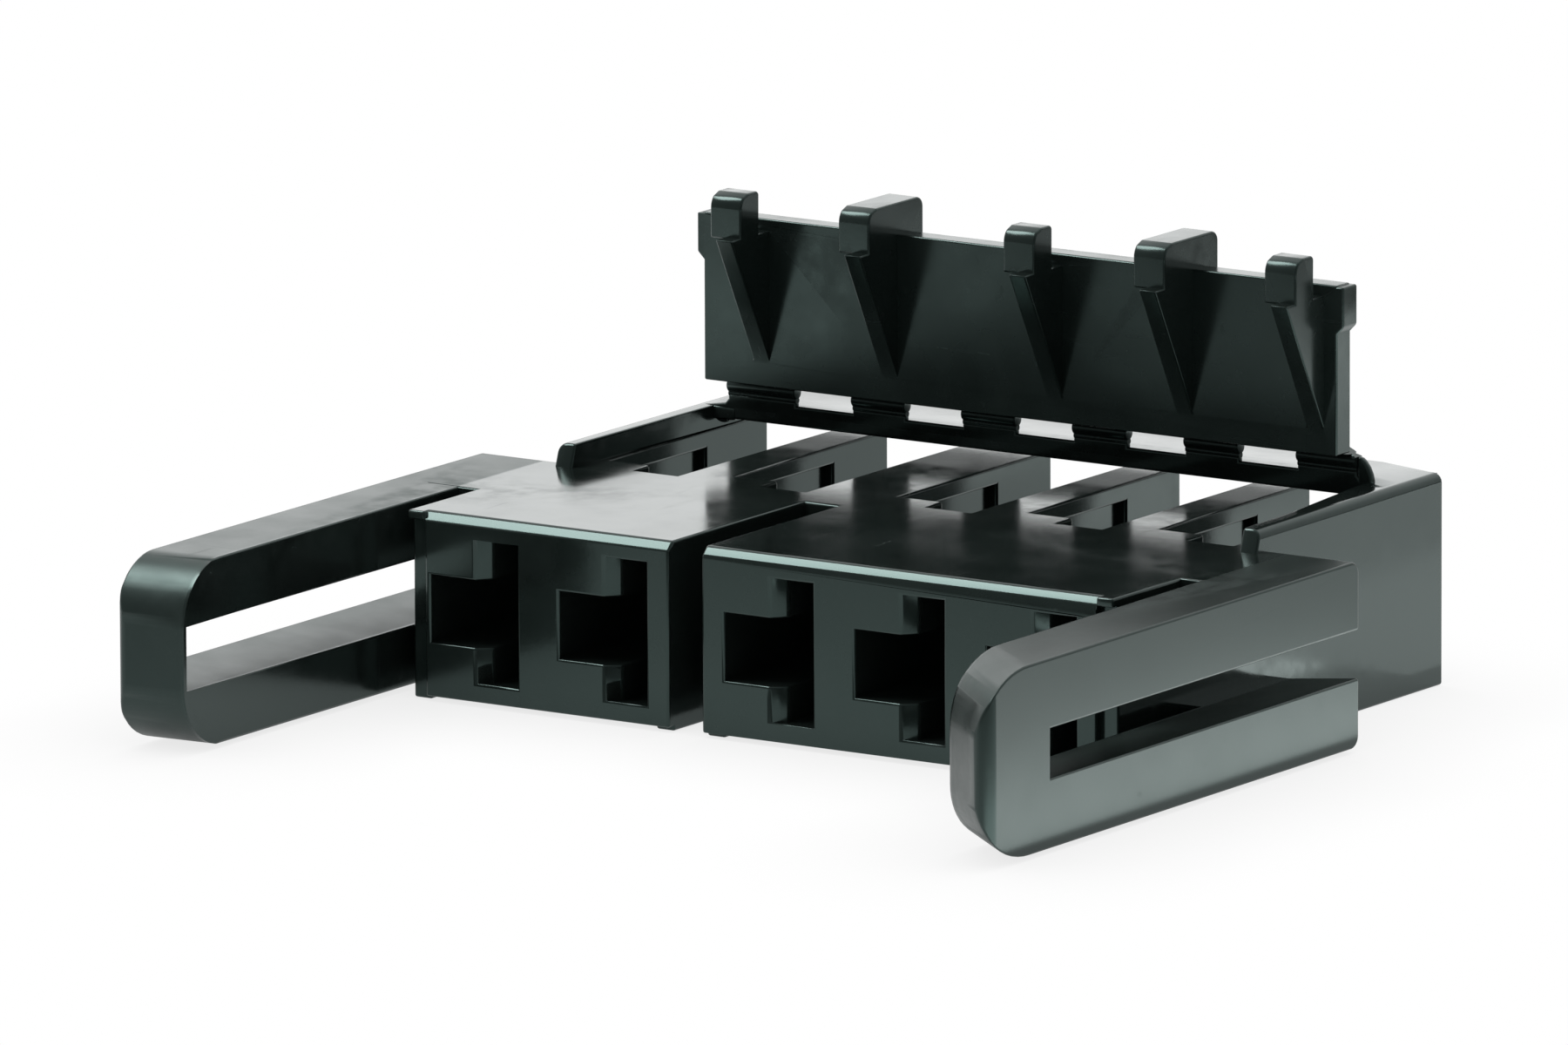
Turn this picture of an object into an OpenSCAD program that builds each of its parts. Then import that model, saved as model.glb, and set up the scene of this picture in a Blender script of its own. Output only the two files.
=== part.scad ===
// Five-way wiring harness connector housing with two side latch arms
// and a retainer cover on a film hinge, shown open and upright.
// Millimetres, +Z up, mating face towards -Y, wires leave towards +Y.

/* [Contact row] */
// Distance between neighbouring contact cavities
pitch = 5.0; // [4.6:0.1:7]
// Distance between the two cavities either side of the key gap
key_pitch = 6.39; // [6:0.05:9]
// Cavities on the left of the key gap
left_contacts = 2; // [1:1:4]
// Cavities on the right of the key gap
right_contacts = 3; // [1:1:6]
// Width of a cavity
cavity_w = 3.4; // [2.8:0.1:3.8]
// Height of the wide window of a cavity
window_h = 2.22; // [1.6:0.02:2.6]
// Height of the wide window above the underside
window_floor = 1.8; // [1.2:0.05:2.2]
// Width of the tall slot at the right of a cavity
slot_w = 1.2; // [0.8:0.05:1.5]
// Height of the tall slot
slot_h = 4.72; // [4:0.02:5]
// Height of the tall slot above the underside
slot_floor = 0.62; // [0.4:0.02:0.8]
// Lead-in chamfer on the left edge of a tall slot
lead_in = 0.45; // [0.2:0.05:0.6]
// Sideways offset of the contact row from the middle
row_shift = -0.275; // [-0.4:0.025:0.4]

/* [Body] */
// Length of the body from mating face to wire end
body_len = 19.8; // [18.6:0.1:24]
// Height of the body from underside to roof
body_h = 6.09; // [5.8:0.05:7]
// Mean thickness of the two outer side walls
side_wall = 1.13; // [1.1:0.01:2]
// Height of the bottom ribs that the body stands on
rib_h = 0.15; // [0.1:0.05:0.4]
// Width of a bottom rib
rib_w = 0.7; // [0.4:0.05:0.9]
// Width of the key gap between the two cavity groups
key_gap = 1.27; // [0.8:0.01:1.5]
// Depth of the key gap from the mating face
key_depth = 8.0; // [4:0.1:9]
// Width of the rebate at the two outer front corners
corner_w = 0.65; // [0.2:0.05:0.8]
// Depth of the rebate at the two outer front corners
corner_depth = 0.3; // [0.1:0.05:0.6]
// Bevel along the top front edge
front_bevel = 0.3; // [0.1:0.05:0.5]

/* [Wire channels] */
// Length of the roof over the cavities
roof_len = 10.3; // [9.8:0.1:10.6]
// Depth of the notch in the roof edge above each tall slot
notch_depth = 1.0; // [0.9:0.05:2]
// Floor thickness under the open channels
channel_floor = 0.9; // [0.6:0.05:1.4]
// Set-back of the partition ends from the wire end
partition_setback = 0.4; // [0.2:0.05:1]
// Depth of the recess in the left wall of each channel
recess_depth = 0.3; // [0.1:0.05:0.4]
// Length of the recess in the left wall of each channel
recess_len = 5.8; // [3:0.1:7]
// Height of the lip left above the recess
recess_lip = 0.6; // [0.3:0.05:1]

/* [Side rails] */
// Height of the side rails above the roof
rail_h = 0.76; // [0.4:0.02:1]
// Thickness of a side rail at its front end
rail_front_t = 0.65; // [0.5:0.05:0.8]
// Thickness of a side rail at its rear end
rail_rear_t = 0.85; // [0.5:0.05:0.85]
// Distance from the mating face to the rails
rail_start = 9.1; // [8:0.1:11]
// Length of the ramp at the front of a rail
rail_ramp = 0.4; // [0.2:0.05:1]

/* [Origin] */
// Distance from the origin forward to the mating face
front_set = 3.85; // [0:0.05:10]

/* [Latch arms] */
// Reach of the arms ahead of the mating face, at the middle of their thickness
nose_reach = 11.7; // [9:0.1:15]
// Set-back of the inner edge of the right nose
right_skew = 2.2; // [0.1:0.05:2.4]
// Set-back of the inner edge of the left nose
left_skew = 0.15; // [0.1:0.05:2.4]
// Corner radius of a nose seen from the side
nose_radius = 2.1; // [0.8:0.05:2.4]
// Radius on the upright outer edge of a nose
nose_edge_radius = 0.4; // [0.2:0.01:0.8]
// Slit between a latch arm and the body
arm_gap = 0.72; // [0.5:0.02:1.5]
// Thickness of a latch arm
arm_t = 2.59; // [1.8:0.01:3.2]
// Distance from the mating face to the rear ends of the arms
arm_rear = 9.4; // [8:0.1:12]
// Corner radius at the rear ends of the arms
arm_rear_radius = 0.4; // [0.2:0.05:0.8]
// Height of the slot in a latch arm, on the outer face
slot_out_h = 1.56; // [1:0.02:2.2]
// Height of the slot in a latch arm, on the inner face
slot_in_h = 2.14; // [1.2:0.02:2.6]
// Reach of the slot ahead of the mating face, on the outer face
slot_reach = 8.76; // [6:0.02:9]
// Thickness of the catch on the inner face
catch_tip = 0.15; // [0.1:0.05:0.8]
// Length of the webs that join an arm to the body
arm_web_len = 5.4; // [3:0.1:7]

/* [Hinge] */
// Distance from the mating face to the hinge line
hinge_y = 16.8; // [16.6:0.05:17]
// Height of the hinge line above the rail tops
hinge_rise = 0.74; // [0.7:0.02:0.8]
// Thickness of the film
film_t = 0.24; // [0.16:0.02:0.3]
// Radius of the rounded root of the cover on the hinge line
bead_r = 0.25; // [0.18:0.01:0.3]
// Height of the standing half of the film
film_rise = 0.156; // [0.1:0.002:0.25]
// Play between the two halves of the film
film_play = 0.05; // [0.03:0.01:0.1]
// Distance from the ends of the cover to the ends of the film
hinge_inset = 0.06; // [0.02:0.01:0.6]
// Width of a window in the film
film_window_w = 2.2; // [1:0.05:2.6]
// Distance between neighbouring windows in the film
film_window_pitch = 4.3; // [3.4:0.02:4.6]
// Sideways offset of the film windows from the middle
film_shift = 0.2; // [-0.4:0.05:0.4]
// Depth of the hinge bar
bar_depth = 0.92; // [0.6:0.02:1.4]
// Height of the hinge bar
bar_h = 0.56; // [0.45:0.01:0.7]
// Radius on the upper corners of the hinge bar
bar_round = 0.42; // [0.1:0.02:0.44]
// Depth of the hinge bar's seat in a side rail
bar_seat = 0.1; // [0.05:0.01:0.3]

/* [Cover] */
// Gap between a long edge of the cover and a side rail
cover_gap = 0.635; // [0.45:0.005:0.9]
// Thickness of the cover plate
cover_t = 0.8; // [0.6:0.05:0.9]
// Height of the cover from the lower edge of its foot
cover_h = 5.75; // [5.4:0.05:5.85]
// Rise of the plate's lower edge above the foot's
plate_lift = 0.15; // [0:0.01:0.3]
// Play between the closed cover and the roof
cover_play = 0.066; // [0.05:0.002:0.12]
// Gap between the lower edge of the foot and the hinge line
foot_gap = 0.24; // [0.22:0.01:0.32]
// Thickness of the foot between plate and hinge
foot_t = 0.6; // [0.5:0.01:0.9]
// Depth of the foot's root inside the plate
foot_root = 0.2; // [0.1:0.01:0.4]
// Narrowing of the foot at the plate, on each side
foot_taper = 0.5; // [0.1:0.05:1]
// Width of the heads on the fins
head_w = 1.2; // [0.8:0.05:1.3]
// Forward reach of the heads
head_reach = 1.7; // [1:0.05:2]
// Depth of a head's seat in its fin
head_seat = 0.07; // [0.05:0.01:0.3]
// Rise of the heads above the plate
head_rise = 1.05; // [0.6:0.05:1.2]
// Radius on the upper front edge of the heads
head_radius = 0.5; // [0.4:0.05:0.7]
// Depth of a short head
stop_depth = 1.1; // [0.9:0.05:1.4]
// Radius on the upper rear edge of a short head
stop_round = 0.15; // [0.05:0.05:0.3]
// Reach of the hooked heads behind the plate
hook_back = 0.75; // [0.2:0.05:0.9]
// Radius on the upper rear edge of a hooked head
hook_round = 0.35; // [0.1:0.05:0.4]
// Play between the swinging heads and the roof notch
head_play = 0.12; // [0.1:0.01:0.3]
// Side play between a head and its roof notch
side_play = 0.15; // [0.1:0.01:0.25]
// Thickness of the wedge fins
fin_t = 0.65; // [0.5:0.05:0.9]
// Set-in of the heads and fins beyond the side play
fin_inset = 0.22; // [0.05:0.01:0.25]
// Forward reach of the wedge fins
fin_reach = 2.25; // [1:0.05:2.6]
// Height of the wedge fins
fin_h = 4.4; // [3:0.1:4.8]
// Distance from the top of the fins to the top of the plate
fin_top = 0.38; // [0.2:0.02:0.6]
// Projection of the snap nubs on the cover sides
nub_reach = 0.25; // [0.1:0.01:0.3]
// Distance from the top of the plate to the snap nubs
nub_drop = 0.04; // [0.02:0.02:1]
// Height of the snap nubs
nub_h = 1.55; // [0.8:0.05:2]

/* [Hidden] */
$fn = 64;
over = 1;
contacts = left_contacts + right_contacts;
row_w = (contacts - 2) * pitch + key_pitch + cavity_w;
row_left = row_shift - row_w / 2;
row_right = row_shift + row_w / 2;
half_w = row_w / 2 + side_wall;
front_y = -front_set;
z_under = rib_h;
z_roof = z_under + body_h;
z_rail = z_roof + rail_h;
z_hinge = z_rail + hinge_rise;
z_floor = z_under + channel_floor;
z_window = z_under + window_floor;
z_slot = z_under + slot_floor;
gap_right = cavity_x(left_contacts) - cavity_w - (key_pitch - cavity_w - key_gap) / 2;
gap_left = gap_right - key_gap;
arm_in = half_w + arm_gap;
arm_out = arm_in + arm_t;
z_arm = z_under + body_h / 2;
notch_y = roof_len - notch_depth;
notch_w = fin_inset + head_w + 2 * side_play;
cover_y = hinge_y - (z_hinge - z_roof - cover_play);
cover_half = half_w - rail_front_t - cover_gap;
cover_low = z_hinge + foot_gap;
cover_top = cover_low + cover_h;
hinge_half = cover_half - hinge_inset;
bar_y = hinge_y - film_t / 2;
z_bar = z_hinge - bead_r - film_play - film_rise;
rail_slope = (rail_rear_t - rail_front_t) / (body_len - rail_start);
bar_half = half_w - rail_front_t - rail_slope * (bar_y - rail_start) + bar_seat;
head_swing = norm([hinge_y - notch_y, z_hinge - z_roof]) - head_play;
stop_rear = cover_y - head_reach + stop_depth;
hook_rear = cover_y + cover_t + hook_back;

// Right edge of cavity i, counted from the left
function cavity_x(i) =
    row_left + cavity_w + i * pitch + (i >= left_contacts ? key_pitch - pitch : 0);

// Slant of a nose's front face
function nose_angle(skew) = atan(skew / arm_t);

// Reach of a nose's outer corner before it is rounded
function nose_corner(skew) = nose_reach + skew / 2;

// Length that the rounding takes from each side of the outer corner
function nose_tangent(skew) = nose_edge_radius / tan((90 - nose_angle(skew)) / 2);

// Solid drawn in the side view and run along X
module along_x(from, to) {
    translate([from, 0, 0])
        rotate([90, 0, 90])
            linear_extrude(to - from)
                children();
}

// Solid drawn in the front view and run along Y
module along_y(from, to) {
    translate([0, to, 0])
        rotate([90, 0, 0])
            linear_extrude(to - from)
                children();
}

// Block given by two opposite corners
module box(low, high) {
    translate(low)
        cube(high - low);
}

// Plain side view of a latch arm, a little rounded at the rear
module arm_side() {
    translate([-nose_reach - arm_t, z_under])
        square([nose_reach + arm_t + arm_rear - arm_rear_radius, body_h]);
    translate([0, z_under + arm_rear_radius])
        square([arm_rear, body_h - 2 * arm_rear_radius]);
    for (z = [z_under + arm_rear_radius, z_roof - arm_rear_radius])
        translate([arm_rear - arm_rear_radius, z])
            circle(arm_rear_radius);
}

// Side view of a nose, measured back from its slanted front face
module nose_side() {
    reach = 2 * (nose_reach + arm_rear);
    translate([nose_radius, z_under])
        square([reach, body_h]);
    translate([0, z_under + nose_radius])
        square([reach, body_h - 2 * nose_radius]);
    for (z = [z_under + nose_radius, z_roof - nose_radius])
        translate([nose_radius, z])
            circle(nose_radius);
}

// Plan of a right-hand arm with its slanted nose and rounded outer edge
module arm_plan(skew) {
    angle = nose_angle(skew);
    tangent = nose_tangent(skew);
    corner = nose_corner(skew);
    polygon([
        [arm_in, skew - corner],
        [arm_out - tangent * cos(angle), tangent * sin(angle) - corner],
        [arm_out, tangent - corner],
        [arm_out, arm_rear + over],
        [arm_in, arm_rear + over]
    ]);
    translate([arm_out - nose_edge_radius, tangent - corner])
        circle(nose_edge_radius);
}

// Section of the slot in a right-hand arm, drawn narrower towards the outer face
module arm_slot_section() {
    polygon([
        [half_w - over, z_arm - slot_in_h / 2],
        [arm_in, z_arm - slot_in_h / 2],
        [arm_out, z_arm - slot_out_h / 2],
        [arm_out + over, z_arm - slot_out_h / 2],
        [arm_out + over, z_arm + slot_out_h / 2],
        [arm_out, z_arm + slot_out_h / 2],
        [arm_in, z_arm + slot_in_h / 2],
        [half_w - over, z_arm + slot_in_h / 2]
    ]);
}

// Plan of the slot in a right-hand arm, ending on the slanted catch
module arm_slot_plan(skew) {
    catch = skew - nose_corner(skew) + catch_tip;
    polygon([
        [half_w - over, catch],
        [arm_in, catch],
        [arm_out, -slot_reach],
        [arm_out + over, -slot_reach],
        [arm_out + over, arm_rear + over],
        [half_w, arm_rear + over],
        [half_w, 0],
        [half_w - over, 0]
    ]);
}

// Right-hand latch arm with the webs that carry it
module latch_arm(skew) {
    difference() {
        union() {
            intersection() {
                along_x(arm_in, arm_out)
                    arm_side();
                linear_extrude(z_roof + over)
                    arm_plan(skew);
                translate([arm_out, -nose_corner(skew), 0])
                    rotate([0, 0, -nose_angle(skew)])
                        along_x(-2 * nose_reach, 2 * nose_reach)
                            nose_side();
            }
            intersection() {
                along_x(half_w - side_wall / 2, arm_in + arm_t / 2)
                    arm_side();
                box([half_w - side_wall / 2, arm_rear - arm_web_len, 0],
                    [arm_in + arm_t / 2, arm_rear + over, z_roof + over]);
            }
        }
        intersection() {
            linear_extrude(z_roof)
                arm_slot_plan(skew);
            along_y(-nose_reach - arm_t, arm_rear + over)
                arm_slot_section();
        }
    }
}

// Rebate under the roof at the right front corner
module corner_rebate() {
    box([half_w - corner_w, -over, z_under - over], [half_w + over, corner_depth, z_roof - front_bevel]);
}

// Body block with rebated front corners and a bevelled top front edge
module body_block() {
    difference() {
        box([-half_w, 0, z_under], [half_w, body_len, z_roof]);
        along_x(corner_w - half_w, half_w - corner_w)
            polygon([
                [-over, z_roof - front_bevel - over],
                [front_bevel + over, z_roof + over],
                [-over, z_roof + over]
            ]);
        corner_rebate();
        mirror([1, 0, 0])
            corner_rebate();
        box([row_left, body_len - partition_setback, z_floor],
            [row_right, body_len + over, z_roof + over]);
    }
}

// Raised rail on the right side wall
module side_rail() {
    intersection() {
        translate([0, 0, z_roof - over])
            linear_extrude(rail_h + over)
                polygon([
                    [half_w - rail_front_t, rail_start],
                    [half_w, rail_start],
                    [half_w, body_len],
                    [half_w - rail_rear_t, body_len]
                ]);
        along_x(0, half_w + over)
            polygon([
                [rail_start, z_roof - over],
                [body_len, z_roof - over],
                [body_len, z_rail],
                [rail_start + rail_ramp, z_rail],
                [rail_start, z_roof]
            ]);
    }
}

// Ribs under the corners of the two cavity groups
module bottom_ribs() {
    for (x = [-half_w, gap_left - rib_w, gap_right, half_w - rib_w])
        box([x, corner_depth, 0], [x + rib_w, body_len, z_under + over / 2]);
}

// Room inside cavity i, from the mating face to the wire end
module cavity(i) {
    right = cavity_x(i);
    left = right - cavity_w;
    box([left, -over, z_window], [right, roof_len + over, z_window + window_h]);
    box([right - slot_w, -over, z_slot], [right, roof_len + over, z_slot + slot_h]);
    translate([right - slot_w, 0, z_slot])
        linear_extrude(slot_h)
            polygon([[-lead_in - over, -over], [lead_in, -over], [lead_in, 2 * lead_in]]);
    box([right - notch_w, notch_y, z_window + window_h / 2], [right, roof_len + over, z_roof + over]);
    box([left, roof_len, z_floor], [right, body_len + over, z_roof + over]);
    box([left - recess_depth, roof_len, z_floor],
        [left + over, roof_len + recess_len, z_roof - recess_lip]);
}

// Bar across the wire end with the standing half of the film
module hinge_bar() {
    translate([0, bar_y + bar_depth, 0])
        rotate([90, 0, 0])
            linear_extrude(bar_depth) {
                translate([-bar_half, z_bar - bar_h])
                    square([2 * bar_half, bar_h - bar_round]);
                translate([bar_round - bar_half, z_bar - bar_h])
                    square([2 * (bar_half - bar_round), bar_h]);
                for (side = [-1, 1])
                    translate([side * (bar_half - bar_round), z_bar - bar_round])
                        circle(bar_round);
            }
    film_webs(z_bar - bar_h / 2, z_hinge - bead_r - film_play);
}

// Middle of film window i, counted from the left
function window_x(i) = film_shift + (i - (contacts - 1) / 2) * film_window_pitch;

// Left and right end of film web i
function web_left(i) = i == 0 ? -hinge_half : window_x(i - 1) + film_window_w / 2;
function web_right(i) = i == contacts ? hinge_half : window_x(i) - film_window_w / 2;

// Film between the windows, over a range of heights
module film_webs(low, high) {
    for (i = [0 : contacts])
        box([web_left(i), hinge_y - film_t / 2, low], [web_right(i), hinge_y + film_t / 2, high]);
}

// Rounded root of the cover, one length at each film web
module hinge_beads() {
    for (i = [0 : contacts])
        translate([web_left(i), hinge_y, z_hinge])
            rotate([0, 90, 0])
                cylinder(h = web_right(i) - web_left(i), r = bead_r);
}

// Housing with its cavities, channels, rails and latch arms
module housing() {
    color("#26292b")
        translate([0, front_y, 0]) {
            difference() {
                union() {
                    body_block();
                    bottom_ribs();
                    side_rail();
                    mirror([1, 0, 0])
                        side_rail();
                }
                box([gap_left, -over, -over], [gap_right, key_depth, z_roof + over]);
                for (i = [0 : contacts - 1])
                    cavity(i);
            }
            latch_arm(right_skew);
            mirror([1, 0, 0])
                latch_arm(left_skew);
            hinge_bar();
        }
}

// Snap nub on the right edge of the cover
module snap_nub() {
    nub_top = cover_top - nub_drop;
    translate([0, cover_y + cover_t, 0])
        rotate([90, 0, 0])
            linear_extrude(cover_t)
                polygon([
                    [cover_half - over, nub_top],
                    [cover_half + nub_reach, nub_top],
                    [cover_half + nub_reach, nub_top - nub_h + nub_reach],
                    [cover_half, nub_top - nub_h],
                    [cover_half - over, nub_top - nub_h]
                ]);
}

// Right side of the head and the fin of cavity i
function fin_right(i) = cavity_x(i) - side_play - fin_inset;

// Side view of a head that ends at rear, rounded at both upper edges
module head_side(rear, rear_radius) {
    front = cover_y - head_reach;
    low = cover_top - fin_top - head_seat;
    high = cover_top + head_rise;
    shoulder = front + head_radius;
    translate([front, low])
        square([rear - front, high - head_radius - low]);
    translate([shoulder, low])
        square([rear - shoulder, high - rear_radius - low]);
    translate([shoulder, low])
        square([rear - rear_radius - shoulder, high - low]);
    translate([shoulder, high - head_radius])
        circle(head_radius);
    translate([rear - rear_radius, high - rear_radius])
        circle(rear_radius);
}

// Head over the fin of cavity i, kept inside its swing past the roof notch
module head(i, rear, rear_radius) {
    left = fin_right(i) - head_w;
    intersection() {
        along_x(left, fin_right(i))
            head_side(rear, rear_radius);
        translate([left - over, hinge_y, z_hinge])
            rotate([0, 90, 0])
                cylinder(h = head_w + 2 * over, r = head_swing);
    }
}

// Wedge fin of cavity i
module wedge_fin(i) {
    high = cover_top - fin_top;
    along_x(fin_right(i) - fin_t, fin_right(i))
        polygon([
            [cover_y + cover_t / 2, high - fin_h],
            [cover_y, high - fin_h],
            [cover_y - fin_reach, high],
            [cover_y + cover_t / 2, high]
        ]);
}

// Foot between the plate and the hinge line
module cover_foot() {
    root_y = cover_y + cover_t - foot_root;
    root_half = hinge_half - foot_taper;
    translate([0, 0, cover_low])
        linear_extrude(foot_t)
            polygon([
                [-root_half, root_y],
                [root_half, root_y],
                [hinge_half, hinge_y],
                [hinge_half, hinge_y + bead_r],
                [-hinge_half, hinge_y + bead_r],
                [-hinge_half, hinge_y]
            ]);
}

// Retainer cover, open and upright
module cover() {
    color("#303335")
        translate([0, front_y, 0]) {
            box([-cover_half, cover_y, cover_low + plate_lift],
                [cover_half, cover_y + cover_t, cover_top]);
            cover_foot();
            hinge_beads();
            film_webs(z_hinge, cover_low + foot_t / 2);
            for (i = [0 : contacts - 1]) {
                wedge_fin(i);
                if (i % 2 == 1)
                    head(i, hook_rear, hook_round);
                else
                    head(i, stop_rear, stop_round);
            }
            snap_nub();
            mirror([1, 0, 0])
                snap_nub();
        }
}

housing();
cover();
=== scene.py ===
import math

import bmesh
import bpy
from mathutils import Matrix, Vector


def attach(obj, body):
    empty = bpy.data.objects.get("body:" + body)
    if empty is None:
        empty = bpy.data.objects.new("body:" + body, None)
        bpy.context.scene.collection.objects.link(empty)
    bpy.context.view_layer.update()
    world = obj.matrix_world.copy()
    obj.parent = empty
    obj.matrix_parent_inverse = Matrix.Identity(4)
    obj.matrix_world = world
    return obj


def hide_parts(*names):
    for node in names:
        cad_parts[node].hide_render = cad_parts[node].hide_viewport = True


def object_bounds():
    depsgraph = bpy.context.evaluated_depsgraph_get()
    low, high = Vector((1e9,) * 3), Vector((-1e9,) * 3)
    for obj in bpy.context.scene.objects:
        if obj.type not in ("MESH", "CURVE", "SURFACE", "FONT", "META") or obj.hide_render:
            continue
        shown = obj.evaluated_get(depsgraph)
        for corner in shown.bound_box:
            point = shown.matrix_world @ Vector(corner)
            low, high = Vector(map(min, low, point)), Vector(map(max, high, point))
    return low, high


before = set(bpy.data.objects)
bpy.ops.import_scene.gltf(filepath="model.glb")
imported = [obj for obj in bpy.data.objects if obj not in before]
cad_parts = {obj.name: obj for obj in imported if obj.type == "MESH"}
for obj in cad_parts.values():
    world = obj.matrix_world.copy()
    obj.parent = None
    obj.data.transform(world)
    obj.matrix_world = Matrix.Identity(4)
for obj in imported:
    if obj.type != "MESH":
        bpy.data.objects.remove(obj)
cad_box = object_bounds()

# Camera
# A long lens from the front and a little above, turned to the right of the mating face.
# The view is almost parallel, so upright edges stay upright in the picture.
MM = 0.001
IMAGE_WIDTH_PX = 1800
FOCAL_PX = 25641
SENSOR_MM = 36
CLIP_NEAR = 0.01
CLIP_FAR = 20
VIEW_AZIMUTH = math.radians(33.485)
VIEW_ELEVATION = math.radians(11.362)
VIEW_ROLL = math.radians(-0.217)
VIEW_DISTANCE = 713.3 * MM
VIEW_TARGET = Vector((1.049, -3.85, 7.376)) * MM

view_right = Vector((math.cos(VIEW_AZIMUTH), math.sin(VIEW_AZIMUTH), 0))
view_forward = Vector((
    -math.sin(VIEW_AZIMUTH) * math.cos(VIEW_ELEVATION),
    math.cos(VIEW_AZIMUTH) * math.cos(VIEW_ELEVATION),
    -math.sin(VIEW_ELEVATION),
))
view_up = view_right.cross(view_forward)
rolled_right = view_right * math.cos(VIEW_ROLL) + view_up * math.sin(VIEW_ROLL)
rolled_up = view_up * math.cos(VIEW_ROLL) - view_right * math.sin(VIEW_ROLL)
camera_data = bpy.data.cameras.new("camera")
camera_data.sensor_fit = "HORIZONTAL"
camera_data.sensor_width = SENSOR_MM
camera_data.lens = FOCAL_PX / IMAGE_WIDTH_PX * SENSOR_MM
camera_data.clip_start = CLIP_NEAR
camera_data.clip_end = CLIP_FAR
camera = bpy.data.objects.new("camera", camera_data)
camera_axes = Matrix((rolled_right, rolled_up, -view_forward)).transposed()
camera.matrix_world = Matrix.Translation(VIEW_TARGET - view_forward * VIEW_DISTANCE) @ camera_axes.to_4x4()
bpy.context.scene.collection.objects.link(camera)
bpy.context.scene.camera = camera

# Housing
# One injection moulding in black plastic: body, side rails, hinge beam and both latch arms.
# The tool's edges are slightly broken, so every outer edge catches a thin line of light.
SHARP_EDGE = math.radians(28)
FLAT_TURN = math.radians(0.5)
WELD_GAP = 0.002 * MM
SAME_PLACE = 0.01 * MM
FLAT_FACE_WEIGHT = 100


def merge_flat_faces(shape):
    """Joins corners that meet, and takes out the edges between faces that lie in one plane."""
    bmesh.ops.remove_doubles(shape, verts=shape.verts, dist=WELD_GAP)
    bmesh.ops.dissolve_limit(shape, angle_limit=FLAT_TURN, verts=shape.verts[:], edges=shape.edges[:])


def merged_copy(node, name):
    """A CAD node's mesh as a new object, with its triangles merged into whole faces."""
    mesh = bpy.data.meshes.new(name)
    shape = bmesh.new()
    shape.from_mesh(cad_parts[node].data)
    merge_flat_faces(shape)
    shape.to_mesh(mesh)
    shape.free()
    piece = bpy.data.objects.new(name, mesh)
    bpy.context.scene.collection.objects.link(piece)
    return piece


def loft(sections):
    """A closed mesh through a row of sections with equal numbers of points."""
    shape = bmesh.new()
    rings = [[shape.verts.new(point) for point in section] for section in sections]
    shape.faces.new(rings[0])
    shape.faces.new(rings[-1])
    for ring, onward in zip(rings, rings[1:]):
        for corner in range(len(ring)):
            nearby = corner - 1
            shape.faces.new((ring[nearby], ring[corner], onward[corner], onward[nearby]))
    bmesh.ops.recalc_face_normals(shape, faces=shape.faces)
    mesh = bpy.data.meshes.new("solid")
    shape.to_mesh(mesh)
    shape.free()
    return mesh


def combine(piece, solid, operation):
    """Joins a closed mesh to a moulding or cuts it away, as one skin."""
    helper = bpy.data.objects.new("solid", solid)
    bpy.context.scene.collection.objects.link(helper)
    boolean = piece.modifiers.new("combine", "BOOLEAN")
    boolean.operation = operation
    boolean.solver = "EXACT"
    boolean.object = helper
    evaluated = piece.evaluated_get(bpy.context.evaluated_depsgraph_get())
    joined = bpy.data.meshes.new_from_object(evaluated)
    piece.modifiers.clear()
    joined.name = piece.name
    piece.data = joined
    bpy.data.objects.remove(helper)


def is_outer_edge(edge):
    """An edge that stands out of the solid and turns by more than the sharp limit."""
    return len(edge.link_faces) == 2 and edge.is_convex and edge.calc_face_angle(0) > SHARP_EDGE


def break_edges(piece, chosen, width, segments):
    """Rounds over the chosen edges of a moulding."""
    shape = bmesh.new()
    shape.from_mesh(piece.data)
    merge_flat_faces(shape)
    bmesh.ops.bevel(
        shape, geom=[edge for edge in shape.edges if chosen(edge)], offset=width, offset_type="OFFSET",
        segments=segments, profile=0.5, affect="EDGES", clamp_overlap=False, loop_slide=True,
        miter_outer="SHARP", miter_inner="SHARP",
    )
    shape.to_mesh(piece.data)
    shape.free()


def smooth_skin(piece, material):
    """Smooth shading that keeps flat faces flat and corners crisp, and one material all over."""
    for face in piece.data.polygons:
        face.use_smooth = True
    piece.data.set_sharp_from_angle(angle=SHARP_EDGE)
    weighted = piece.modifiers.new("flat_face_normals", "WEIGHTED_NORMAL")
    weighted.keep_sharp = True
    weighted.weight = FLAT_FACE_WEIGHT
    piece.data.materials.clear()
    piece.data.materials.append(material)


def add_sockets(tree, in_out, kinds):
    """Named sockets on the outside of a node group."""
    for name, kind in kinds.items():
        tree.interface.new_socket(name=name, in_out=in_out, socket_type="NodeSocket" + kind)


def feed(tree, socket, value):
    """Sets a node's input to a number, or links it to another node's output."""
    if isinstance(value, (int, float)):
        socket.default_value = value
    else:
        tree.links.new(value, socket)


def calc(tree, operation, *values):
    """A Math node on numbers or outputs."""
    node = tree.nodes.new("ShaderNodeMath")
    node.operation = operation
    for socket, value in zip(node.inputs, values):
        feed(tree, socket, value)
    return node.outputs["Value"]


def remap(tree, value, low, high, to_low=0.0, to_high=1.0, smooth=False):
    """A Map Range node that takes one range to another and stops at its ends."""
    node = tree.nodes.new("ShaderNodeMapRange")
    node.interpolation_type = "SMOOTHSTEP" if smooth else "LINEAR"
    limits = {"Value": value, "From Min": low, "From Max": high, "To Min": to_low, "To Max": to_high}
    for name, limit in limits.items():
        feed(tree, node.inputs[name], limit)
    return node.outputs["Result"]


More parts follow.
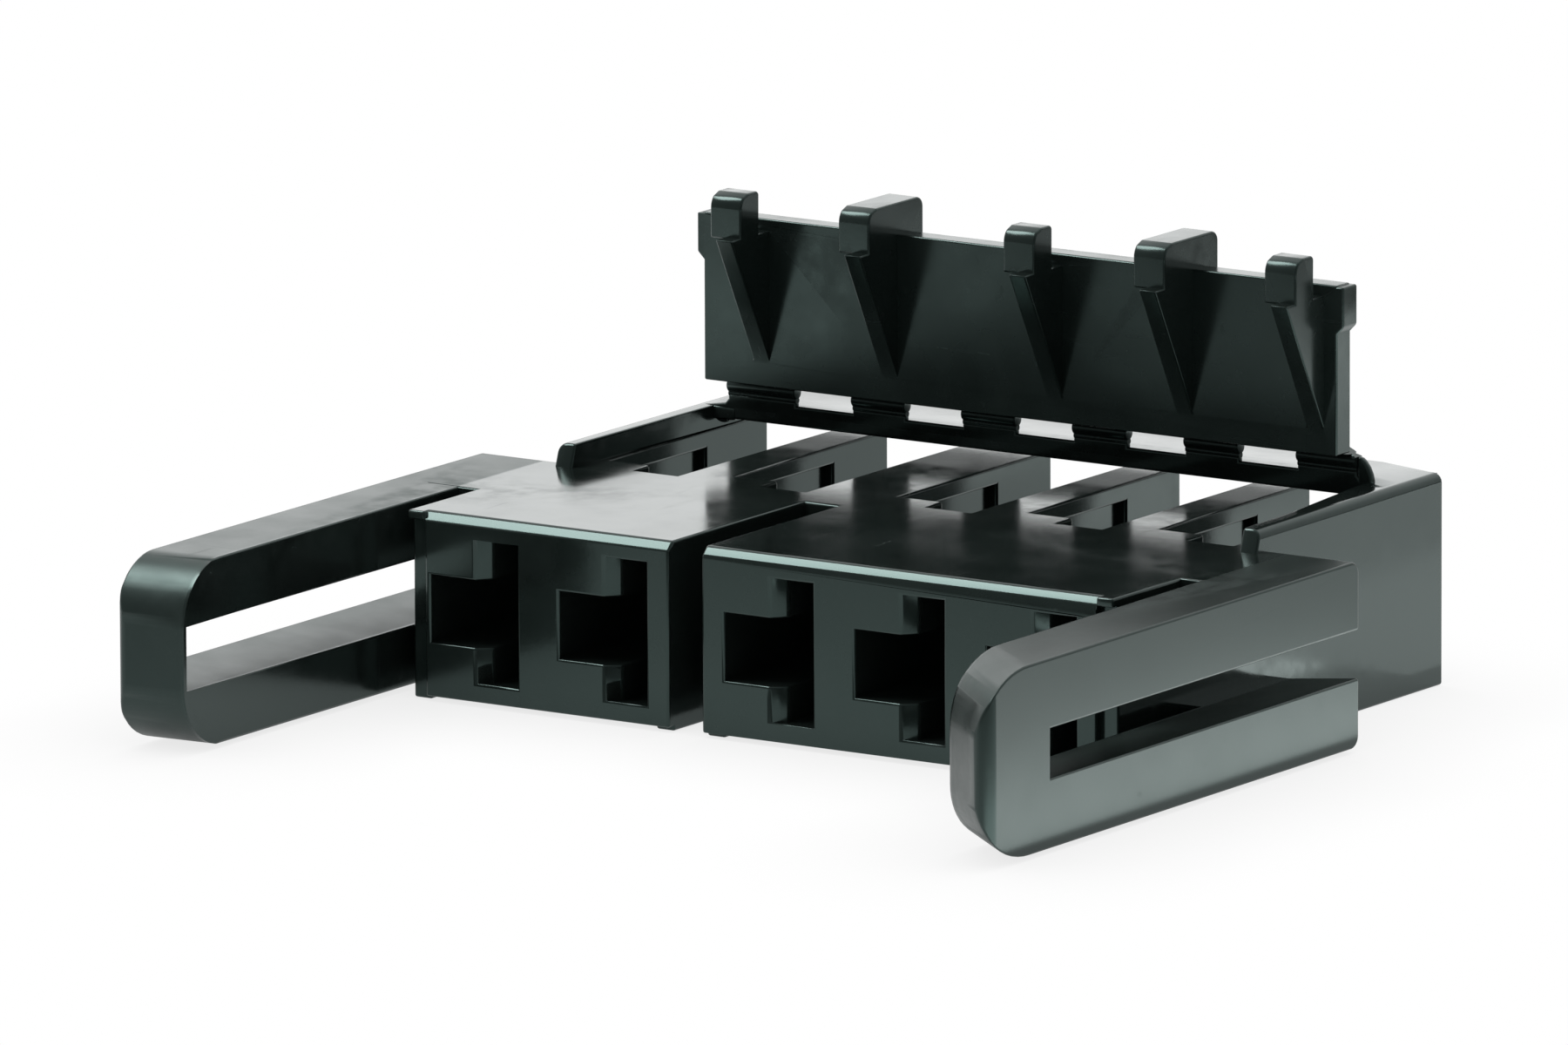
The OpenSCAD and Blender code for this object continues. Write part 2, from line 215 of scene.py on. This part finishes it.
def split_place(tree, kind):
    """The X, Y and Z outputs of one kind of texture coordinates."""
    place = tree.nodes.new("ShaderNodeTexCoord")
    split = tree.nodes.new("ShaderNodeSeparateXYZ")
    tree.links.new(place.outputs[kind], split.inputs["Vector"])
    return split.outputs


# Patterns of the moulded skin: noise with its scale per metre, and the band of its values that shows.
FLOW = dict(scale=170, detail=3, roughness=0.6, stretch=(1.0, 0.35, 1.0), band=(0.38, 0.68))
CLOUD = dict(scale=420, detail=4, roughness=0.62, band=(0.36, 0.70))
SPECKS = dict(scale=5200, detail=1, band=(0.73, 0.79))
SCUFFS_ACROSS = dict(scale=2600, detail=2, stretch=(0.05, 1.0, 1.0), band=(0.68, 0.76))
SCUFFS_ALONG = dict(scale=2300, detail=2, stretch=(1.0, 0.06, 0.6), band=(0.69, 0.77))
WEAR_AND_SHEEN = dict(scale=1500, detail=3, band=(0.35, 0.65))
SINK_WAVES = dict(scale=140, detail=1)
GRAIN = dict(scale=6500, detail=2)
FLOW_TINT = 0.45
CLOUD_TINT = 0.35
SPECK_TINT = 0.35
MARK_AND_SHEEN_TINT = 0.6
CLOUD_DULL = 0.6
FLOW_DULL = 0.4
MARK_DULL = 0.12
GRAIN_HEIGHT = 0.05


def make_mould_skin():
    """Shared surface of the mouldings: flow streaks, scuffs, worn edges with a painted edge highlight,
    sink waves and fine grain.
    """
    tree = bpy.data.node_groups.new("mould_skin", "ShaderNodeTree")
    add_sockets(tree, "INPUT", {
        "Vector": "Vector", "Dark": "Color", "Pale": "Color", "Polish": "Float", "Dullness": "Float",
        "Edge": "Float",
    })
    add_sockets(tree, "OUTPUT", {"Color": "Color", "Roughness": "Float", "Height": "Float"})
    nodes = tree.nodes
    link = tree.links.new
    source = nodes.new("NodeGroupInput").outputs
    result = nodes.new("NodeGroupOutput").inputs

    def pattern(scale, detail, roughness=0.5, stretch=None, band=None):
        texture = nodes.new("ShaderNodeTexNoise")
        texture.inputs["Scale"].default_value = scale
        texture.inputs["Detail"].default_value = detail
        texture.inputs["Roughness"].default_value = roughness
        place = source["Vector"]
        if stretch is not None:
            mapping = nodes.new("ShaderNodeMapping")
            mapping.inputs["Scale"].default_value = stretch
            link(place, mapping.inputs["Vector"])
            place = mapping.outputs["Vector"]
        link(place, texture.inputs["Vector"])
        value = texture.outputs["Fac"]
        return value if band is None else remap(tree, value, *band)

    def blend(*shares):
        total = 0
        for value, share in shares:
            total = calc(tree, "MULTIPLY_ADD", value, share, total)
        return total

    flow = pattern(**FLOW)
    cloud = pattern(**CLOUD)
    specks = pattern(**SPECKS)
    scuffs = calc(tree, "MAXIMUM", pattern(**SCUFFS_ACROSS), pattern(**SCUFFS_ALONG))
    scuffs = calc(tree, "MULTIPLY", scuffs, cloud)
    # Worn edges with a painted highlight: pointed edges turn paler and rougher, broken up by noise.
    edge_wear_sheen = calc(tree, "MULTIPLY", source["Edge"], pattern(**WEAR_AND_SHEEN))
    marks_and_sheen = calc(tree, "MAXIMUM", scuffs, edge_wear_sheen)
    mottle = blend((flow, FLOW_TINT), (cloud, CLOUD_TINT), (specks, SPECK_TINT), (marks_and_sheen, MARK_AND_SHEEN_TINT))
    colours = nodes.new("ShaderNodeMix")
    colours.data_type = "RGBA"
    link(mottle, colours.inputs["Factor"])
    link(source["Dark"], colours.inputs["A"])
    link(source["Pale"], colours.inputs["B"])
    link(colours.outputs["Result"], result["Color"])

    dull = blend((cloud, CLOUD_DULL), (flow, FLOW_DULL))
    rough = blend((dull, source["Dullness"]), (marks_and_sheen, MARK_DULL))
    link(calc(tree, "ADD", source["Polish"], rough), result["Roughness"])

    grain = calc(tree, "MULTIPLY", pattern(**GRAIN), GRAIN_HEIGHT)
    link(calc(tree, "ADD", pattern(**SINK_WAVES), grain), result["Height"])
    return tree


PLASTIC_IOR = 1.56
GLINT_TINT = (0.70, 1.0, 0.94, 1)
BUMP_STRENGTH = 0.5
BUMP_HEIGHT = 0.03 * MM
WORN_AND_SHEEN_FROM = 0.53
WORN_AND_SHEEN_FULLY = 0.62
mould_skin = make_mould_skin()


def black_plastic(name, dark, pale, polish, dullness):
    """Black moulded plastic, with its skin from the shared group, and worn edges with a painted highlight
    where the surface is pointed.
    """
    material = bpy.data.materials.new(name)
    material.use_nodes = True
    tree = material.node_tree
    nodes = tree.nodes
    link = tree.links.new
    shader = nodes["Principled BSDF"]
    shader.inputs["IOR"].default_value = PLASTIC_IOR
    shader.inputs["Specular Tint"].default_value = GLINT_TINT
    place = nodes.new("ShaderNodeTexCoord")
    skin = nodes.new("ShaderNodeGroup")
    skin.node_tree = mould_skin
    skin.inputs["Dark"].default_value = dark
    skin.inputs["Pale"].default_value = pale
    skin.inputs["Polish"].default_value = polish
    skin.inputs["Dullness"].default_value = dullness
    bump = nodes.new("ShaderNodeBump")
    bump.inputs["Strength"].default_value = BUMP_STRENGTH
    bump.inputs["Distance"].default_value = BUMP_HEIGHT
    shape = nodes.new("ShaderNodeNewGeometry")
    # Pointed edges feed the worn edges with a painted highlight.
    link(remap(tree, shape.outputs["Pointiness"], WORN_AND_SHEEN_FROM, WORN_AND_SHEEN_FULLY), skin.inputs["Edge"])
    link(place.outputs["Object"], skin.inputs["Vector"])
    link(skin.outputs["Color"], shader.inputs["Base Color"])
    link(skin.outputs["Roughness"], shader.inputs["Roughness"])
    link(skin.outputs["Height"], bump.inputs["Height"])
    link(bump.outputs["Normal"], shader.inputs["Normal"])
    return material


# The latch arms came from a duller part of the tool, so they are rougher than the body between them.
HOUSING_DARK = (0.0100, 0.0146, 0.0131, 1)
HOUSING_PALE = (0.021, 0.028, 0.026, 1)
ARM_DULL_FROM = 14.26 * MM
ARM_DULL_FULLY = 14.4 * MM
ARM_DULL = 0.20
housing_plastic = black_plastic("housing_plastic", HOUSING_DARK, HOUSING_PALE, polish=0.10, dullness=0.10)
housing_tree = housing_plastic.node_tree
housing_rough = housing_tree.nodes["Principled BSDF"].inputs["Roughness"]
body_rough = housing_rough.links[0].from_socket
off_middle = calc(housing_tree, "ABSOLUTE", split_place(housing_tree, "Object")["X"])
arm_rough = remap(housing_tree, off_middle, ARM_DULL_FROM, ARM_DULL_FULLY, 0, ARM_DULL)
housing_tree.links.new(calc(housing_tree, "ADD", body_rough, arm_rough), housing_rough)

# Both side rails start further forward than the solid's, and the hinge bar's ends run down to them.
SIDE_X = 13.525 * MM
ROOF_TOP = 6.24 * MM
RAIL_TOP = 7.0 * MM
RAIL_INNER = 12.75 * MM
RAMP_FOOT = 5.25 * MM
RAMP_HEAD = 5.65 * MM
RAMP_FOOT_SEEN = 4.62 * MM
RAMP_HEAD_SEEN = 4.88 * MM
BAR_FRONT = 12.83 * MM
BAR_REAR = 13.75 * MM
BAR_TOP = 7.284 * MM
BAR_FLAT = 12.4 * MM
BAR_END_TOP = 7.006 * MM
housing = merged_copy("housing", "housing_moulding")
for vert in housing.data.vertices:
    at_rail = RAIL_INNER < abs(vert.co.x) < SIDE_X + SAME_PLACE
    for y, z, seen in ((RAMP_FOOT, ROOF_TOP, RAMP_FOOT_SEEN), (RAMP_HEAD, RAIL_TOP, RAMP_HEAD_SEEN)):
        if at_rail and abs(vert.co.y - y) < SAME_PLACE and abs(vert.co.z - z) < SAME_PLACE:
            vert.co.y = seen
    at_bar_end = abs(vert.co.x) > BAR_FLAT and vert.co.y > BAR_FRONT - SAME_PLACE
    if at_bar_end and vert.co.z > RAIL_TOP + SAME_PLACE:
        vert.co.z = BAR_END_TOP

# The hinge beam is flat over the bar, slopes behind it to the rear end, and runs down to both rails.
REAR_Y = 15.95 * MM
BEAM_LOW = 6.6 * MM
BEAM_REAR_TOP = 7.13 * MM
BEAM_FULL = 11.3 * MM
BEAM_END = 13.3 * MM
BEAM_END_TOP = 6.98 * MM
combine(housing, loft([
    [(x, BAR_FRONT, BEAM_LOW), (x, REAR_Y, BEAM_LOW), (x, REAR_Y, rear_top), (x, BAR_REAR, bar_top),
     (x, BAR_FRONT, bar_top)]
    for x, bar_top, rear_top in (
        (-BEAM_END, BEAM_END_TOP, BEAM_END_TOP),
        (-BEAM_FULL, BAR_TOP, BEAM_REAR_TOP),
        (BEAM_FULL, BAR_TOP, BEAM_REAR_TOP),
        (BEAM_END, BEAM_END_TOP, BEAM_END_TOP),
    )
]), "UNION")

# A gusset stiffens the beam's right end, and a short root its left end.
GUSSET_TIP = 10.9 * MM
GUSSET_TOP = 6.8 * MM
GUSSET_LOW = 5.9 * MM
GUSSET_FRONT = 12.93 * MM
GUSSET_REAR = 13.5 * MM
BAR_ROOT_OUT = 13.0 * MM
BAR_ROOT_IN = 11.9 * MM
BAR_ROOT_LOW = 6.56 * MM
BAR_ROOT_TOP = 6.99 * MM
BAR_ROOT_FRONT = 12.82 * MM
combine(housing, loft([
    [(GUSSET_TIP, y, GUSSET_TOP), (RAIL_INNER, y, GUSSET_TOP), (RAIL_INNER, y, GUSSET_LOW)]
    for y in (GUSSET_FRONT, GUSSET_REAR)
]), "UNION")
combine(housing, loft([
    [(-BAR_ROOT_OUT, y, BAR_ROOT_LOW), (-BAR_ROOT_IN, y, BAR_ROOT_LOW),
     (-BAR_ROOT_IN, y, BAR_ROOT_TOP), (-BAR_ROOT_OUT, y, BAR_ROOT_TOP)]
    for y in (BAR_ROOT_FRONT, GUSSET_REAR)
]), "UNION")

# The right rail gets thicker on its inner side towards the beam, and ends in a rounded ear.
RIB_START = 6.2 * MM
RIB_WIDEST = 12.25 * MM
RIB_LOW = 6.3 * MM
RIB_OUTER = 12.95 * MM
EAR_INNER = 12.2 * MM
EAR_LOW = 6.9 * MM
EAR_REAR = 13.1 * MM
EAR_ROUND_MM = ((12.76, 7.13), (12.71, 7.36), (12.61, 7.58), (12.49, 7.74), (12.36, 7.86), (12.20, 7.92))
combine(housing, loft([
    [(RIB_OUTER, RIB_START, z), (RIB_OUTER, GUSSET_REAR, z), (RIB_WIDEST, GUSSET_REAR, z),
     (RIB_WIDEST, BAR_FRONT, z)]
    for z in (RIB_LOW, RAIL_TOP)
]), "UNION")
combine(housing, loft([
    [(EAR_INNER, y, EAR_LOW), (EAR_ROUND_MM[0][0] * MM, y, EAR_LOW)]
    + [(x * MM, y, z * MM) for x, z in EAR_ROUND_MM]
    for y in (BAR_FRONT, EAR_REAR)
]), "UNION")

# The rails' shoulders are rounded most, and the thin catch tips in front of the latch slots stay crisp.
RAIL_ROUND = 0.32 * MM
RAIL_ROUND_STEPS = 5
HOUSING_EDGE = 0.09 * MM
EDGE_STEPS = 3
CATCH_INNER = 14.3 * MM
CATCH_FRONT = -13.5 * MM


def is_rail_shoulder(edge):
    """The long outer top edge of a side rail."""
    return is_outer_edge(edge) and all(
        abs(abs(vert.co.x) - SIDE_X) < SAME_PLACE and abs(vert.co.z - RAIL_TOP) < SAME_PLACE
        for vert in edge.verts
    )


def is_housing_edge(edge):
    """An outer edge of the housing, away from the catch tips."""
    at_catch = all(abs(vert.co.x) < CATCH_INNER and vert.co.y < CATCH_FRONT for vert in edge.verts)
    return is_outer_edge(edge) and not at_catch


break_edges(housing, is_rail_shoulder, RAIL_ROUND, RAIL_ROUND_STEPS)
break_edges(housing, is_housing_edge, HOUSING_EDGE, EDGE_STEPS)
smooth_skin(housing, housing_plastic)

# What the edge rounds push out in front goes back to the front of the CAD box.
box_front = cad_box[0][1]
for vert in housing.data.vertices:
    vert.co.y = max(vert.co.y, box_front)
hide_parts("housing")
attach(housing, "housing")

# Cover
# A thin moulded plate with five wedge fins that carry heads, made in one shot with the housing.
# It stands upright on the film hinge as it leaves the tool, on a root strip with a slanted right end.
COVER_DARK = (0.0096, 0.0140, 0.0126, 1)
COVER_PALE = (0.020, 0.027, 0.025, 1)
COVER_EDGE = 0.07 * MM
ROOT_LEFT = -11.9 * MM
ROOT_RIGHT = 11.7 * MM
ROOT_FRONT = 12.25 * MM
ROOT_REAR = 12.6 * MM
ROOT_LOW = 8.0 * MM
ROOT_HIGH = 8.3 * MM
FOOT_FRONT = 12.345 * MM
FOOT_REAR = 13.2 * MM
FOOT_CUT_MM = ((10.95, 8.75), (11.60, 8.16), (12.25, 7.86), (12.60, 7.86), (12.60, 8.75))
CRISP_LEFT = FOOT_CUT_MM[0][0] * MM
CRISP_FRONT = FOOT_FRONT - 0.05 * MM


def is_cover_edge(edge):
    """An outer edge of the cover, away from the cut end of its foot, which stays crisp."""
    at_cut = all(vert.co.x > CRISP_LEFT and vert.co.y > CRISP_FRONT for vert in edge.verts)
    return is_outer_edge(edge) and not at_cut


cover_plastic = black_plastic("cover_plastic", COVER_DARK, COVER_PALE, polish=0.16, dullness=0.12)
cover = merged_copy("cover", "cover_moulding")
combine(cover, loft([
    [(x, ROOT_FRONT, ROOT_LOW), (x, ROOT_REAR, ROOT_LOW),
     (x, ROOT_REAR, ROOT_HIGH), (x, ROOT_FRONT, ROOT_HIGH)]
    for x in (ROOT_LEFT, ROOT_RIGHT)
]), "UNION")
combine(cover, loft([
    [(x * MM, y, z * MM) for x, z in FOOT_CUT_MM] for y in (FOOT_FRONT, FOOT_REAR)
]), "DIFFERENCE")
break_edges(cover, is_cover_edge, COVER_EDGE, EDGE_STEPS)
smooth_skin(cover, cover_plastic)
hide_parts("cover")
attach(cover, "cover")

# Hinge film
# Six thin webs of the same plastic that join the cover's root to the hinge beam.
# They stay bent at the hinge line, inside the rounded root, wherever the cover stands.
FILM_WEBS = 6
FILM_PITCH = 4.3 * MM
FILM_MIDDLE = 0.2 * MM
FILM_WIDTH = 2.08 * MM
FILM_LEFT_EXTRA = 0.58 * MM
FILM_RIGHT_EXTRA = 0.18 * MM
FILM_RADIUS = 0.11 * MM
FILM_SIDES = 16
FILM_Y = 12.95 * MM
FILM_Z = 7.465 * MM


def make_film_tree(material):
    """Geometry Nodes tree that lays a row of round film webs along X, with wider end webs."""
    tree = bpy.data.node_groups.new("hinge_film", "GeometryNodeTree")
    add_sockets(tree, "INPUT", {
        "Webs": "Int", "Pitch": "Float", "Width": "Float", "Left Extra": "Float", "Right Extra": "Float",
        "Radius": "Float", "Sides": "Int", "Start": "Vector",
    })
    add_sockets(tree, "OUTPUT", {"Geometry": "Geometry"})
    nodes = tree.nodes
    link = tree.links.new
    sizes = nodes.new("NodeGroupInput").outputs
    result = nodes.new("NodeGroupOutput").inputs

    def along_x(value):
        vector = nodes.new("ShaderNodeCombineXYZ")
        link(value, vector.inputs["X"])
        return vector.outputs["Vector"]

    row = nodes.new("GeometryNodeMeshLine")
    link(sizes["Webs"], row.inputs["Count"])
    link(sizes["Start"], row.inputs["Start Location"])
    link(along_x(sizes["Pitch"]), row.inputs["Offset"])
    number = nodes.new("GeometryNodeInputIndex").outputs["Index"]
    is_first = calc(tree, "LESS_THAN", number, 0.5)
    is_last = calc(tree, "GREATER_THAN", number, calc(tree, "SUBTRACT", sizes["Webs"], 1.5))
    at_left = calc(tree, "MULTIPLY", is_first, sizes["Left Extra"])
    at_right = calc(tree, "MULTIPLY", is_last, sizes["Right Extra"])
    shift = nodes.new("GeometryNodeSetPosition")
    link(row.outputs["Mesh"], shift.inputs["Geometry"])
    half_extra = calc(tree, "MULTIPLY", calc(tree, "SUBTRACT", at_right, at_left), 0.5)
    link(along_x(half_extra), shift.inputs["Offset"])

    web_line = nodes.new("GeometryNodeCurvePrimitiveLine")
    link(along_x(calc(tree, "MULTIPLY", sizes["Width"], -0.5)), web_line.inputs["Start"])
    link(along_x(calc(tree, "MULTIPLY", sizes["Width"], 0.5)), web_line.inputs["End"])
    web_round = nodes.new("GeometryNodeCurvePrimitiveCircle")
    link(sizes["Sides"], web_round.inputs["Resolution"])
    link(sizes["Radius"], web_round.inputs["Radius"])
    web = nodes.new("GeometryNodeCurveToMesh")
    web.inputs["Fill Caps"].default_value = True
    link(web_line.outputs["Curve"], web.inputs["Curve"])
    link(web_round.outputs["Curve"], web.inputs["Profile Curve"])

    stretch = nodes.new("ShaderNodeCombineXYZ")
    longer = calc(tree, "DIVIDE", calc(tree, "ADD", at_left, at_right), sizes["Width"])
    link(calc(tree, "ADD", longer, 1), stretch.inputs["X"])
    stretch.inputs["Y"].default_value = 1
    stretch.inputs["Z"].default_value = 1
    webs = nodes.new("GeometryNodeInstanceOnPoints")
    link(shift.outputs["Geometry"], webs.inputs["Points"])
    link(web.outputs["Mesh"], webs.inputs["Instance"])
    link(stretch.outputs["Vector"], webs.inputs["Scale"])
    real = nodes.new("GeometryNodeRealizeInstances")
    link(webs.outputs["Instances"], real.inputs["Geometry"])
    paint = nodes.new("GeometryNodeSetMaterial")
    paint.inputs["Material"].default_value = material
    link(real.outputs["Geometry"], paint.inputs["Geometry"])
    link(paint.outputs["Geometry"], result["Geometry"])
    return tree


film_tree = make_film_tree(cover_plastic)
film_row = bpy.data.objects.new("film_row", bpy.data.meshes.new("film_row"))
bpy.context.scene.collection.objects.link(film_row)
film_maker = film_row.modifiers.new("hinge_film", "NODES")
film_maker.node_group = film_tree
film_sizes = {
    "Webs": FILM_WEBS,
    "Pitch": FILM_PITCH,
    "Width": FILM_WIDTH,
    "Left Extra": FILM_LEFT_EXTRA,
    "Right Extra": FILM_RIGHT_EXTRA,
    "Radius": FILM_RADIUS,
    "Sides": FILM_SIDES,
    "Start": (FILM_MIDDLE - FILM_PITCH * (FILM_WEBS - 1) / 2, FILM_Y, FILM_Z),
}
for socket in film_tree.interface.items_tree:
    if socket.in_out == "INPUT":
        film_maker[socket.identifier] = film_sizes[socket.name]
film_evaluated = film_row.evaluated_get(bpy.context.evaluated_depsgraph_get())
film_mesh = bpy.data.meshes.new_from_object(film_evaluated)
bpy.data.objects.remove(film_row)
hinge_film = bpy.data.objects.new("hinge_film", film_mesh)
bpy.context.scene.collection.objects.link(hinge_film)
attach(hinge_film, "housing")

# Studio floor
# A white painted sweep under and behind the part. It glows, and a soft shadow close to the part is painted
# into that glow from ambient occlusion.
# In reflections it glows bright behind the part, with painted shade that falls off towards the camera and
# the right rear corner.
FLOOR_HALF = 3.0
FLOOR_DROP = 0.02 * MM
FLOOR_GREY = (0.82, 0.82, 0.82, 1)
SWEEP_NEAR = -80 * MM
SWEEP_FAR = 2 * MM
SWEEP_DIM = 0.15
CORNER_NEAR = 102 * MM
CORNER_FAR = 120 * MM
CORNER_DIM = 0.2
SHADOW_REACH = 8 * MM
SHADOW_SEEN = 0.78
SHADOW_MIRRORED = 0.5


def ray_kinds(tree):
    """One for camera rays, and one for camera, mirror and see-through rays together, else zero."""
    path = tree.nodes.new("ShaderNodeLightPath").outputs
    mirrored = calc(tree, "MAXIMUM", path["Is Camera Ray"], path["Is Glossy Ray"])
    return path["Is Camera Ray"], calc(tree, "MAXIMUM", mirrored, path["Is Transmission Ray"])


floor_mesh = bpy.data.meshes.new("floor")
floor_corners = [
    (sx * FLOOR_HALF, sy * FLOOR_HALF, -FLOOR_DROP) for sx, sy in ((-1, -1), (1, -1), (1, 1), (-1, 1))
]
floor_mesh.from_pydata(floor_corners, [], [(0, 1, 2, 3)])
floor = bpy.data.objects.new("floor", floor_mesh)
bpy.context.scene.collection.objects.link(floor)
floor_paint = bpy.data.materials.new("floor_paint")
floor_paint.use_nodes = True
floor_tree = floor_paint.node_tree
floor_tree.nodes.remove(floor_tree.nodes["Principled BSDF"])
floor_camera, floor_seen = ray_kinds(floor_tree)
floor_place = split_place(floor_tree, "Object")
# Painted shade: in reflections the floor's glow falls off towards the camera and the right rear corner.
floor_fall = remap(floor_tree, floor_place["Y"], SWEEP_NEAR, SWEEP_FAR, SWEEP_DIM, 1, smooth=True)
floor_right_back = calc(floor_tree, "ADD", floor_place["X"], floor_place["Y"])
floor_corner_dimming = remap(floor_tree, floor_right_back, CORNER_NEAR, CORNER_FAR, 1, CORNER_DIM)
floor_painted_falloff = calc(floor_tree, "MULTIPLY", floor_fall, floor_corner_dimming)
floor_white = calc(floor_tree, "MAXIMUM", floor_painted_falloff, floor_camera)
# Painted shadow: ambient occlusion darkens the floor's glow near the part, for camera and mirror rays.
floor_occlusion_shade = floor_tree.nodes.new("ShaderNodeAmbientOcclusion")
floor_occlusion_shade.inputs["Distance"].default_value = SHADOW_REACH
floor_depth = remap(floor_tree, floor_camera, 0, 1, SHADOW_MIRRORED, SHADOW_SEEN)
floor_shadow = remap(floor_tree, floor_occlusion_shade.outputs["AO"], 0, 1, floor_depth, 1)
floor_glow = floor_tree.nodes.new("ShaderNodeEmission")
feed(floor_tree, floor_glow.inputs["Strength"], calc(floor_tree, "MULTIPLY", floor_white, floor_shadow))
floor_matt = floor_tree.nodes.new("ShaderNodeBsdfDiffuse")
floor_matt.inputs["Color"].default_value = FLOOR_GREY
floor_mix = floor_tree.nodes.new("ShaderNodeMixShader")
feed(floor_tree, floor_mix.inputs["Fac"], floor_seen)
feed(floor_tree, floor_mix.inputs[1], floor_matt.outputs["BSDF"])
feed(floor_tree, floor_mix.inputs[2], floor_glow.outputs["Emission"])
feed(floor_tree, floor_tree.nodes["Material Output"].inputs["Surface"], floor_mix.outputs["Shader"])
floor_mesh.materials.append(floor_paint)

# Studio light
# A white sky that gives a dim fill, and is darker in reflections from the front and the right.
# One soft box stands behind, one high on the left, and small panels lie on the floor around the part.
SKY_WHITE = (1, 1, 1, 1)
SKY_FILL = 0.25
SKY_FRONT = 0.20
SKY_FRONT_LIMITS = (-0.7, 0.5)
SKY_RIGHT = 0.5
SKY_RIGHT_LIMITS = (0.2, 0.6)
PANEL_LIFT = 0.4 * MM

world = bpy.data.worlds.new("studio")
bpy.context.scene.world = world
world.use_nodes = True
sky_tree = world.node_tree
sky_camera, sky_seen = ray_kinds(sky_tree)
sky_place = split_place(sky_tree, "Generated")
sky_fall = remap(sky_tree, sky_place["Y"], *SKY_FRONT_LIMITS, SKY_FRONT, 1)
sky_side = remap(sky_tree, sky_place["X"], *SKY_RIGHT_LIMITS, 1, SKY_RIGHT)
sky_white = calc(sky_tree, "MAXIMUM", calc(sky_tree, "MULTIPLY", sky_fall, sky_side), sky_camera)
sky_strength = sky_tree.nodes.new("ShaderNodeMix")
feed(sky_tree, sky_strength.inputs["Factor"], sky_seen)
feed(sky_tree, sky_strength.inputs["A"], SKY_FILL)
feed(sky_tree, sky_strength.inputs["B"], sky_white)
sky = sky_tree.nodes["Background"]
sky.inputs["Color"].default_value = SKY_WHITE
feed(sky_tree, sky.inputs["Strength"], sky_strength.outputs["Result"])


def soft_box(name, place, aim, width, height, brightness):
    """A rectangular lamp of a given surface brightness, hidden from the camera."""
    lamp_data = bpy.data.lights.new(name, "AREA")
    lamp_data.shape = "RECTANGLE"
    lamp_data.size = width
    lamp_data.size_y = height
    lamp_data.energy = brightness * math.pi * width * height
    lamp = bpy.data.objects.new(name, lamp_data)
    lamp.location = place
    lamp.rotation_euler = (Vector(aim) - Vector(place)).to_track_quat("-Z", "Y").to_euler()
    lamp.visible_camera = False
    bpy.context.scene.collection.objects.link(lamp)


def floor_panel(name, x, y, width, height, brightness):
    """A soft box that lies just above the floor and shines straight up."""
    soft_box(name, (x, y, PANEL_LIFT), (x, y, 1), width, height, brightness)


soft_box("back_box", (-0.24, 0.37, 0.12), aim=(0, 0, 0.005), width=0.40, height=0.16, brightness=0.75)
floor_panel("arm_panel", x=0.0206, y=-0.003, width=0.0068, height=0.036, brightness=2.0)
floor_panel("wall_panel", x=0.0192, y=0.030, width=0.0100, height=0.030, brightness=0.5)
floor_panel("side_panel", x=0.034, y=0.020, width=0.0200, height=0.080, brightness=0.15)
floor_panel("cover_panel", x=0.040, y=0.053, width=0.0080, height=0.016, brightness=1.2)
floor_panel("front_panel", x=-0.058, y=-0.040, width=0.0500, height=0.030, brightness=0.9)
soft_box("top_box", (-0.24, -0.08, 0.36), aim=(0, 0, 0), width=0.20, height=0.20, brightness=9)

bpy.context.scene.view_settings.view_transform = "Standard"
